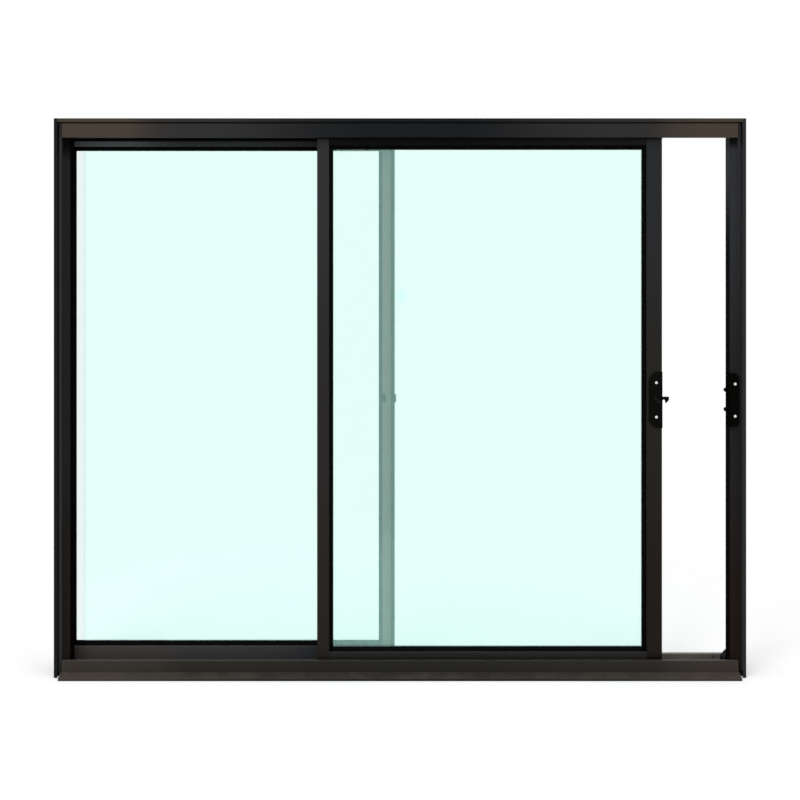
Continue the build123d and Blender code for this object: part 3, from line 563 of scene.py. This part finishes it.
rear_pane, tree, shader, place = glass("rear_pane")
along = add(tree, "ShaderNodeSeparateXYZ", {0: place}).outputs["X"]
open_side = spread(tree, along, *SHADED_EDGE)
stile_low, stile_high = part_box("front_interlock_stile")
covered = spread(tree, along, stile_low[0], stile_high[0])
veil = spread(tree, open_side, 0.0, 1.0, SHADED_VEIL, GLASS_VEIL)
veil = maths(tree, "MULTIPLY_ADD", covered, COVERED_VEIL - GLASS_VEIL, veil)
tree.links.new(veil, shader.inputs["Alpha"])
tree.links.new(mix_colour(tree, open_side, SHADED_TINT, GLASS_TINT), shader.inputs["Base Color"])
print("strips set on", rear_pane.name)

# %% [markdown]
# ## Rubber, plastic and metal
# Gaskets, pile and the latch are blacker than the coat, and the roller wheels are pale nylon. All are
# moulded or woven, so they share one recipe with different grain, and the screws and roller cages
# share another for plated metal.

# %% Moulded and woven skins
SKIN_DUST = (0.13, 0.12, 0.11, 1)
SKIN_ROUGH_SPREAD = 0.12


def moulded_skin(name, colour, dust, grain_size, roughness, relief, gloss):
    """A moulded or woven skin with fine grain and a little dust."""
    material, tree, shader = new_material(name)
    dusty = place_group(tree, dust_group, Colour=colour, Dust=SKIN_DUST, Amount=dust)
    grain = place_group(
        tree, grain_group, Grain_Size=grain_size, Roughness=roughness, Roughness_Spread=SKIN_ROUGH_SPREAD)
    bump = add(tree, "ShaderNodeBump",
               {"Strength": relief, "Distance": PEEL_DEPTH, "Height": grain["Height"]})
    tree.links.new(dusty["Colour"], shader.inputs["Base Color"])
    tree.links.new(grain["Roughness"], shader.inputs["Roughness"])
    tree.links.new(bump.outputs["Normal"], shader.inputs["Normal"])
    shader.inputs["Specular IOR Level"].default_value = gloss
    return material


gasket_rubber = moulded_skin(
    "gasket_rubber", (0.0012, 0.0012, 0.0012, 1), dust=0.02,
    grain_size=0.0006, roughness=0.7, relief=0.2, gloss=0.03)
strip_plastic = moulded_skin(
    "strip_plastic", (0.003, 0.003, 0.003, 1), dust=0.03,
    grain_size=0.0005, roughness=0.5, relief=0.15, gloss=0.03)
latch_black = moulded_skin(
    "latch_black", (0.0016, 0.0016, 0.0012, 1), dust=0.03,
    grain_size=0.0004, roughness=0.35, relief=0.1, gloss=0.04)
# The lever is painted a little paler than the case, as painted highlight on its rims.
lever_highlight_black = moulded_skin(
    "lever_highlight_black", (0.0042, 0.004, 0.0036, 1), dust=0.05,
    grain_size=0.0004, roughness=0.35, relief=0.1, gloss=0.06)
keeper_black = moulded_skin(
    "keeper_black", (0.0028, 0.0028, 0.0024, 1), dust=0.03,
    grain_size=0.0004, roughness=0.6, relief=0.1, gloss=0.0)
pile_wool = moulded_skin(
    "pile_wool", (0.004, 0.004, 0.004, 1), dust=0.03,
    grain_size=0.0003, roughness=0.9, relief=0.3, gloss=0.05)
roller_nylon = moulded_skin(
    "roller_nylon", (0.62, 0.61, 0.57, 1), dust=0.1,
    grain_size=0.0008, roughness=0.45, relief=0.1, gloss=0.5)
print("skins ready")

# %% Bright metal
METAL_ROUGH_SPREAD = 0.15
METAL_RELIEF = 0.1
METAL_PEEL = 0.0001
METAL_SHADE = 0.8  # brightness of the marks, as a share of the plain metal's


def bright_metal(name, colour, grain_size, roughness):
    """Plated or turned metal with fine marks."""
    material, tree, shader = new_material(name)
    grain = place_group(
        tree, grain_group, Grain_Size=grain_size, Roughness=roughness, Roughness_Spread=METAL_ROUGH_SPREAD)
    bump = add(tree, "ShaderNodeBump",
               {"Strength": METAL_RELIEF, "Distance": METAL_PEEL, "Height": grain["Height"]})
    darker = tuple(METAL_SHADE * part for part in colour[:3]) + (1,)
    tree.links.new(mix_colour(tree, grain["Height"], colour, darker), shader.inputs["Base Color"])
    tree.links.new(grain["Roughness"], shader.inputs["Roughness"])
    tree.links.new(bump.outputs["Normal"], shader.inputs["Normal"])
    shader.inputs["Metallic"].default_value = 1.0
    return material


cage_zinc = bright_metal("cage_zinc", (0.60, 0.61, 0.63, 1), grain_size=0.004, roughness=0.35)
screw_steel = bright_metal("screw_steel", (0.86, 0.86, 0.85, 1), grain_size=0.0006, roughness=0.22)
print("metals ready")

# %% [markdown]
# ## Dressing the solids
# The record names a material slot for every node. Most nodes wear the finish of their slot, and the
# pieces whose tone differs in the light wear one of their own; for the coats and the lever that tone is
# painted light. Only the material changes: the solids stay where they are, with the shape they have.

# %% Which finish each piece wears
FINISHES = {
    "frame_aluminium": head_coat,
    "sash_aluminium": stile_coat,
    "glass": front_pane,
    "gasket_rubber": gasket_rubber,
    "pile": pile_wool,
    "roller_plastic": roller_nylon,
    "roller_steel": cage_zinc,
    "guide_plastic": strip_plastic,
    "strip_plastic": strip_plastic,
    "latch_black": latch_black,
}
OWN_FINISH = {
    "sill": sill_coat,
    "left_jamb": left_jamb_coat,
    "right_jamb": right_jamb_coat,
    "front_lock_stile": lock_stile_coat,
    "front_top_rail": top_rail_shadow_coat,
    "front_bottom_rail": bottom_rail_coat,
    "rear_interlock_stile": meeting_stile_coat,
    "rear_top_rail": rear_top_coat,
    "rear_bottom_rail": rear_bottom_coat,
    "rear_glass": rear_pane,
    "latch_lever": lever_highlight_black,
    "keeper": keeper_black,
}

for entry in frame["record"]["subparts"]:
    finish = OWN_FINISH.get(entry["node"], FINISHES[entry["material_slot"]])
    for place in nodes[entry["node"]].material_slots:
        place.material = finish

# %% [markdown]
# ## Small pieces from Geometry Nodes
# Screws, buffers and pile fibres repeat, so each kind is one Geometry Nodes tree with named sizes. A
# tree makes its shape once and sets a copy on every point of a small mesh of places. The copies are
# realized and the result becomes a plain mesh, because an export drops instances.

# %% Helpers for Geometry Nodes
INTEGER = "NodeSocketInt"
ROTATION = "NodeSocketRotation"
GEOMETRY = "NodeSocketGeometry"


def start_tree(name, inputs):
    """Begin a tree with named inputs, and return it with their sockets and their identifiers."""
    tree = bpy.data.node_groups.new(name, "GeometryNodeTree")
    tree.is_modifier = True
    tree.interface.new_socket("Geometry", in_out="INPUT", socket_type=GEOMETRY)
    identifiers = {}
    for label, kind, value in inputs:
        item = tree.interface.new_socket(label, in_out="INPUT", socket_type=kind)
        item.default_value = value
        identifiers[label] = item.identifier
    tree.interface.new_socket("Geometry", in_out="OUTPUT", socket_type=GEOMETRY)
    return tree, tree.nodes.new("NodeGroupInput").outputs, identifiers


def vector(tree, x=0.0, y=0.0, z=0.0):
    """A vector from three sockets or numbers."""
    return add(tree, "ShaderNodeCombineXYZ", {0: x, 1: y, 2: z}).outputs[0]


def shifted(tree, geometry, x=0.0, y=0.0, z=0.0):
    """Geometry moved along the axes."""
    way = vector(tree, x, y, z)
    return add(tree, "GeometryNodeTransform", {"Geometry": geometry, "Translation": way}).outputs[0]


def slab(tree, length, depth, height):
    """A box about the origin."""
    return add(tree, "GeometryNodeMeshCube", {"Size": vector(tree, length, depth, height)}).outputs["Mesh"]


def joined(tree, parts):
    """Several geometries as one."""
    node = tree.nodes.new("GeometryNodeJoinGeometry")
    for part in parts:
        tree.links.new(part, node.inputs[0])
    return node.outputs[0]


def end_tree(tree, given, shape, material):
    """Set a shape on every given point, then end in real geometry with its material."""
    points = add(tree, "GeometryNodeMeshToPoints", {"Mesh": given["Geometry"]}).outputs[0]
    copies = add(tree, "GeometryNodeInstanceOnPoints", {"Points": points, "Instance": shape})
    if "Turn" in given:
        tree.links.new(given["Turn"], copies.inputs["Rotation"])
    real = add(tree, "GeometryNodeRealizeInstances", {"Geometry": copies.outputs[0]}).outputs[0]
    finish = add(tree, "GeometryNodeSetMaterial", {"Geometry": real, "Material": material}).outputs[0]
    tree.links.new(finish, tree.nodes.new("NodeGroupOutput").inputs[0])
    print("tree:", tree.name)


print("tree helpers ready")

# %% From a tree to a piece


def make_piece(name, places, tree, values):
    """Run a tree on points, keep the result as a plain mesh at the origin and tie it to the window."""
    mesh = bpy.data.meshes.new(name + "_places")
    mesh.from_pydata(places, [], [])
    piece = bpy.data.objects.new(name, mesh)
    bpy.context.scene.collection.objects.link(piece)
    modifier = piece.modifiers.new("shape", "NODES")
    modifier.node_group = tree
    for identifier, value in values.items():
        modifier[identifier] = value
    bpy.context.view_layer.update()
    evaluated = piece.evaluated_get(bpy.context.evaluated_depsgraph_get())
    finished = bpy.data.meshes.new_from_object(evaluated)
    finished.name = name
    piece.modifiers.clear()
    piece.data = finished
    bpy.data.meshes.remove(mesh)
    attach(piece, "root")
    print(name, "faces:", len(finished.polygons))
    return piece


print("piece helper ready")

# %% [markdown]
# ## Screws
# Two bright screws hold the latch and two the keeper, and the sash's stiles are screwed to its rails.
# All have the same countersunk head with a cross recess: a short cone, from which two crossed bars
# are cut.

# %% A tree for countersunk screws
SCREW_SIDES = 24

screw_tree, given, SCREW = start_tree("countersunk_screws", [
    ("Head Radius", FLOAT, 0.0024), ("Shank Radius", FLOAT, 0.0019), ("Head Depth", FLOAT, 0.0017),
    ("Recess Length", FLOAT, 0.0033), ("Recess Width", FLOAT, 0.0008), ("Recess Depth", FLOAT, 0.0011),
    ("Turn", ROTATION, (0, 0, 0)),
])
head = add(screw_tree, "GeometryNodeMeshCone", {
    "Vertices": SCREW_SIDES, "Radius Top": given["Head Radius"], "Radius Bottom": given["Shank Radius"],
    "Depth": given["Head Depth"],
})
seated = shifted(screw_tree, head.outputs["Mesh"], z=times(screw_tree, given["Head Depth"], -1.0))
deep = times(screw_tree, given["Recess Depth"], 2.0)
cross = joined(screw_tree, [
    slab(screw_tree, given["Recess Length"], given["Recess Width"], deep),
    slab(screw_tree, given["Recess Width"], given["Recess Length"], deep),
])
cut = add(screw_tree, "GeometryNodeMeshBoolean", operation="DIFFERENCE", solver="EXACT")
screw_tree.links.new(seated, cut.inputs[0])
screw_tree.links.new(cross, cut.inputs[1])
cut.inputs["Self Intersection"].default_value = True
end_tree(screw_tree, given, cut.outputs["Mesh"], screw_steel)

# %% Screws of the latch and the keeper
LATCH_SCREW_INSET = 0.0105
LATCH_SCREW_SPACING = 0.060
KEEPER_SCREW_INSET = 0.0070
KEEPER_SCREW_SPACING = 0.056
SCREW_SINK = 0.0012  # the heads sit on the slope of the countersinks
FACING_ROOM = (math.radians(90), 0, 0)

screw_places = []
for node, inset, spacing in (
    ("latch_case", LATCH_SCREW_INSET, LATCH_SCREW_SPACING),
    ("keeper", KEEPER_SCREW_INSET, KEEPER_SCREW_SPACING),
):
    low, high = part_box(node)
    for way in (-0.5, 0.5):
        screw_places.append((high[0] - inset, low[1] + SCREW_SINK, (low[2] + high[2]) / 2 + way * spacing))
make_piece("fitting_screws", screw_places, screw_tree, {SCREW["Turn"]: FACING_ROOM})

# %% Screws through the stiles into the rails
JOINT_SCREW_INSET = 0.012  # from the sash's top, and twice that from its foot
JOINT_SCREW_PROUD = 0.0004

rail_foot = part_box("front_bottom_rail")[0][2]
rail_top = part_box("front_top_rail")[1][2]
joint_heights = (rail_foot + 2 * JOINT_SCREW_INSET, rail_top - JOINT_SCREW_INSET)
for name, node, side, way in (
    ("lock_stile_screws", "front_lock_stile", 1, 1),
    ("meeting_stile_screws", "front_interlock_stile", 0, -1),
):
    low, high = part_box(node)
    x = (low, high)[side][0] + way * JOINT_SCREW_PROUD
    places = [(x, (low[1] + high[1]) / 2, z) for z in joint_heights]
    make_piece(name, places, screw_tree, {SCREW["Turn"]: (0, way * math.radians(90), 0)})

# %% [markdown]
# ## Buffers on the keeper
# Two rubber buffers on the keeper's side leaf meet the sash when it shuts. Each is a soft dome, built
# from short rings whose radius follows an ellipse, closed at the base and merged into one skin.

# %% A tree for domed buffers
DOME_STEPS = (0.0, 0.3, 0.55, 0.75, 0.9, 1.0)
DOME_SIDES = 20
MERGE_DISTANCE = 0.00001

buffer_tree, given, BUFFER = start_tree("domed_buffers", [
    ("Radius", FLOAT, 0.0045), ("Reach", FLOAT, 0.0072), ("Turn", ROTATION, (0, 0, 0)),
])
base = add(buffer_tree, "GeometryNodeMeshCircle",
           {"Vertices": DOME_SIDES, "Radius": given["Radius"]}, fill_type="NGON")
rings = [add(buffer_tree, "GeometryNodeFlipFaces", {"Mesh": base.outputs[0]}).outputs[0]]
for start, stop in zip(DOME_STEPS, DOME_STEPS[1:]):
    ring = add(buffer_tree, "GeometryNodeMeshCone", {
        "Vertices": DOME_SIDES,
        "Radius Bottom": times(buffer_tree, given["Radius"], math.sqrt(1 - start * start)),
        "Radius Top": times(buffer_tree, given["Radius"], math.sqrt(1 - stop * stop)),
        "Depth": times(buffer_tree, given["Reach"], stop - start),
    }, fill_type="NONE")
    rings.append(shifted(buffer_tree, ring.outputs["Mesh"], z=times(buffer_tree, given["Reach"], start)))
dome = add(buffer_tree, "GeometryNodeMergeByDistance",
           {"Geometry": joined(buffer_tree, rings), "Distance": MERGE_DISTANCE}).outputs[0]
smooth = add(buffer_tree, "GeometryNodeSetShadeSmooth", {"Geometry": dome}).outputs[0]
end_tree(buffer_tree, given, smooth, gasket_rubber)

# %% Buffers on the side leaf
BUFFER_SPACING = 0.034
LEAF_FACE = 0.573
BUFFER_DEPTH = 0.017
FACING_LEFT = (0, math.radians(-90), 0)

low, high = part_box("keeper")
middle = (low[2] + high[2]) / 2
buffer_places = [(LEAF_FACE, BUFFER_DEPTH, middle + way * BUFFER_SPACING) for way in (-0.5, 0.5)]
make_piece("keeper_buffers", buffer_places, buffer_tree, {BUFFER["Turn"]: FACING_LEFT})

# %% [markdown]
# ## Pile strips
# A strip of wool pile on each top rail keeps out draught: thousands of short fibres stand on a woven
# backing, with a thin fin between their rows. Modelling each fibre by hand is out of the question, so a
# tree lays a grid of points on the backing and stands a slim four-sided fibre on each, tilted a little
# at random with a fixed seed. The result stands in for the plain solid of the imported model.

# %% Backing and fin of the pile
FIN_REACH = 0.9  # of the pile's reach
FIN_THICKNESS = 0.25  # of the backing's

pile_tree, given, PILE = start_tree("wool_pile", [
    ("Length", FLOAT, 0.6), ("Height", FLOAT, 0.0065), ("Reach", FLOAT, 0.0046), ("Backing", FLOAT, 0.0008),
    ("Spacing", FLOAT, 0.0011), ("Fibre Radius", FLOAT, 0.0003), ("Lean", FLOAT, 0.12),
    ("Rows", INTEGER, 5), ("Seed", INTEGER, 3),
])
backing = slab(pile_tree, given["Length"], given["Backing"], given["Height"])
backing = shifted(pile_tree, backing, y=times(pile_tree, given["Backing"], -0.5))
fin_reach = times(pile_tree, given["Reach"], FIN_REACH)
fin = slab(pile_tree, given["Length"], fin_reach, times(pile_tree, given["Backing"], FIN_THICKNESS))
fin = shifted(pile_tree, fin, y=times(pile_tree, fin_reach, -0.5))
print("pile backing and fin set")

# %% Fibres of the pile
FIBRE_SIDES = 4
FIBRE_REACH = 0.97  # of the space before the backing
FIBRE_TIP = 0.4  # of its radius at the root
PILE_BAND = 0.68  # of the strip's height
UPRIGHT = math.radians(90)

fibre = add(pile_tree, "GeometryNodeMeshCone", {
    "Vertices": FIBRE_SIDES, "Radius Bottom": given["Fibre Radius"],
    "Radius Top": times(pile_tree, given["Fibre Radius"], FIBRE_TIP),
    "Depth": times(pile_tree, maths(pile_tree, "SUBTRACT", given["Reach"], given["Backing"]), FIBRE_REACH),
}).outputs["Mesh"]
grid = add(pile_tree, "GeometryNodeMeshGrid", {
    "Size X": maths(pile_tree, "SUBTRACT", given["Length"], times(pile_tree, given["Reach"], 0.5)),
    "Size Y": times(pile_tree, given["Height"], PILE_BAND),
    "Vertices X": maths(pile_tree, "DIVIDE", given["Length"], given["Spacing"]),
    "Vertices Y": given["Rows"],
}).outputs["Mesh"]
roots = add(pile_tree, "GeometryNodeTransform", {"Geometry": grid, "Rotation": (UPRIGHT, 0, 0)}).outputs[0]
roots = shifted(pile_tree, roots, y=times(pile_tree, given["Backing"], -1.0))
roots = add(pile_tree, "GeometryNodeMeshToPoints", {"Mesh": roots}).outputs[0]
print("pile fibre and its roots set")

# %% Lean of the fibres
MOST_TWIST = 1.0  # radians, about the fibre's own length

lean_back = times(pile_tree, given["Lean"], -1.0)
least = vector(pile_tree, maths(pile_tree, "SUBTRACT", UPRIGHT, given["Lean"]), lean_back)
most = vector(pile_tree, maths(pile_tree, "ADD", UPRIGHT, given["Lean"]), given["Lean"], MOST_TWIST)
lean = add(pile_tree, "FunctionNodeRandomValue",
           {0: least, 1: most, "Seed": given["Seed"]}, data_type="FLOAT_VECTOR")
turn = add(pile_tree, "FunctionNodeEulerToRotation", {0: lean.outputs[0]}).outputs[0]
fibres = add(pile_tree, "GeometryNodeInstanceOnPoints",
             {"Points": roots, "Instance": fibre, "Rotation": turn})
end_tree(pile_tree, given, joined(pile_tree, [backing, fin, fibres.outputs[0]]), pile_wool)

# %% Pile on both top rails
for seed, node in enumerate(("front_top_pile", "rear_top_pile"), start=3):
    low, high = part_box(node)
    centre = ((low[0] + high[0]) / 2, high[1], (low[2] + high[2]) / 2)
    strip = make_piece(node.replace("top_pile", "pile_fibres"), [centre], pile_tree, {
        PILE["Length"]: high[0] - low[0],
        PILE["Height"]: high[2] - low[2],
        PILE["Reach"]: high[1] - low[1],
        PILE["Seed"]: seed,
    })
    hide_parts(node)

# %% [markdown]
# ## Stage and light
# The window stands on a plain white floor in a white surround. The floor keeps the window's soft
# shadow, and further away it fades into the white of the surround. One large soft lamp stands high on
# the left, a weaker one on the right, one hangs above, and the surround fills the rest.

# %% White as the camera sees it


def seen_directly(tree):
    """1 for rays from the camera, a reflection or glass, and 0 for rays that only carry light."""
    path = add(tree, "ShaderNodeLightPath").outputs
    seen = maths(tree, "MAXIMUM", path["Is Camera Ray"], path["Is Glossy Ray"])
    return maths(tree, "MAXIMUM", seen, path["Is Transmission Ray"])


print("ray helper ready")

# %% Surround
WORLD_FILL = 0.55  # light from the surround, below the white that the camera sees

world = bpy.data.worlds.new("surround")
bpy.context.scene.world = world
world.use_nodes = True
backdrop = world.node_tree.nodes["Background"]
backdrop.inputs["Color"].default_value = (1, 1, 1, 1)
strength = spread(world.node_tree, seen_directly(world.node_tree), 0.0, 1.0, WORLD_FILL, 1.0)
world.node_tree.links.new(strength, backdrop.inputs["Strength"])
print("surround ready")

# %% Floor
FLOOR_HALF = 15.0
FLOOR_GREY = (0.82, 0.82, 0.82, 1)
FLOOR_ROUGHNESS = 0.9
FLOOR_LIFT = 0.375  # how much of the white the floor shows near the window, besides its own light
FLOOR_FADE = (0.7, 1.3)  # distances between which the floor turns into plain white

floor_mesh = bpy.data.meshes.new("floor")
corners = [(x * FLOOR_HALF, y * FLOOR_HALF, 0) for x, y in ((-1, -1), (1, -1), (1, 1), (-1, 1))]
floor_mesh.from_pydata(corners, [], [(0, 1, 2, 3)])
floor = bpy.data.objects.new("floor", floor_mesh)
bpy.context.scene.collection.objects.link(floor)
floor_paint, tree, shader = new_material("floor_paint")
away = add(tree, "ShaderNodeVectorMath", {0: object_place(tree)}, operation="LENGTH").outputs["Value"]
direct = seen_directly(tree)
far = times(tree, spread(tree, away, *FLOOR_FADE), direct)
lift = maths(tree, "MULTIPLY_ADD", far, 1.0 - FLOOR_LIFT, FLOOR_LIFT)
tree.links.new(mix_colour(tree, far, FLOOR_GREY, (0, 0, 0, 1)), shader.inputs["Base Color"])
tree.links.new(times(tree, direct, lift), shader.inputs["Emission Strength"])
shader.inputs["Emission Color"].default_value = (1, 1, 1, 1)
shader.inputs["Roughness"].default_value = FLOOR_ROUGHNESS
shader.inputs["Specular IOR Level"].default_value = 0.0
floor_mesh.materials.append(floor_paint)
print("floor ready")

# %% Lamps


def soft_lamp(name, place, aim, size, power, colour):
    """A square area lamp that points at a place on the window."""
    data = bpy.data.lights.new(name, "AREA")
    data.size = size
    data.energy = power
    data.color = colour
    lamp = bpy.data.objects.new(name, data)
    lamp.location = place
    lamp.rotation_euler = (Vector(aim) - Vector(place)).to_track_quat("-Z", "Y").to_euler()
    bpy.context.scene.collection.objects.link(lamp)
    print(name, power, "W")


soft_lamp("key_lamp", place=(-1.5, -2.4, 2.6), aim=(0, 0, 0.4), size=1.6, power=31, colour=(1, 0.99, 0.97))
soft_lamp("fill_lamp", place=(2.2, -1.8, 1.4), aim=(0, 0, 0.5), size=1.4, power=9, colour=(0.97, 0.98, 1))
soft_lamp("top_lamp", place=(0, -0.5, 3.0), aim=(0, 0, 0.3), size=1.8, power=17, colour=(1, 1, 1))
